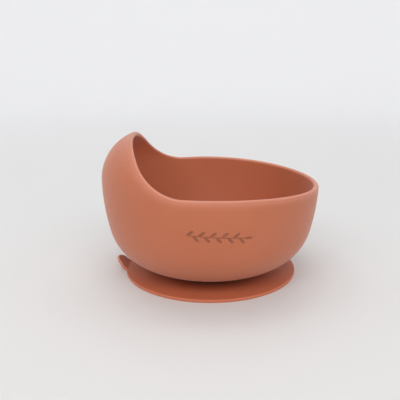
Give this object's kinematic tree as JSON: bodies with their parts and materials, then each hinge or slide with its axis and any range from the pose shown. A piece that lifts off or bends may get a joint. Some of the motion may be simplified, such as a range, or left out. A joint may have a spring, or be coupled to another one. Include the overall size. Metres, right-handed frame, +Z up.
{
  "type": "suction bowl",
  "caption": "Round feeding bowl with one wall raised and curled inward as a scooping hood, on a flexible dished suction base with a release tab.",
  "frame": {"origin": "on the table, under the centre of the bowl", "axes": "+Z up; -X towards the raised back wall, +X towards the low front wall; Y across"},
  "size_m": [0.1249, 0.125, 0.0821],
  "materials": {
    "silicone_bowl": "matte moulded silicone, terracotta",
    "silicone_base": "matte moulded silicone, terracotta"
  },
  "bodies": {
    "base": {"sealing_lip": "silicone_base", "suction_skirt": "silicone_base"},
    "bowl": {"bowl": "silicone_bowl", "suction_hub": "silicone_base"},
    "tab": {"pull_tab": "silicone_base"}
  },
  "joints": [
    {"name": "press_down", "type": "slide", "parent": "base", "child": "bowl", "axis": [0, 0, -1], "range_m": [0, 0.0016], "stiffness_N_per_m": 3000, "springref_m": -0.001, "deforming": ["suction_skirt"]},
    {"name": "tab_lift", "type": "hinge", "parent": "base", "child": "tab", "pos_m": [-0.05014, 0.00236, 0.001], "axis": [0.0471, 0.9989, 0], "range_deg": [-40, 40], "stiffness_Nm_per_rad": 0.02}
  ]
}
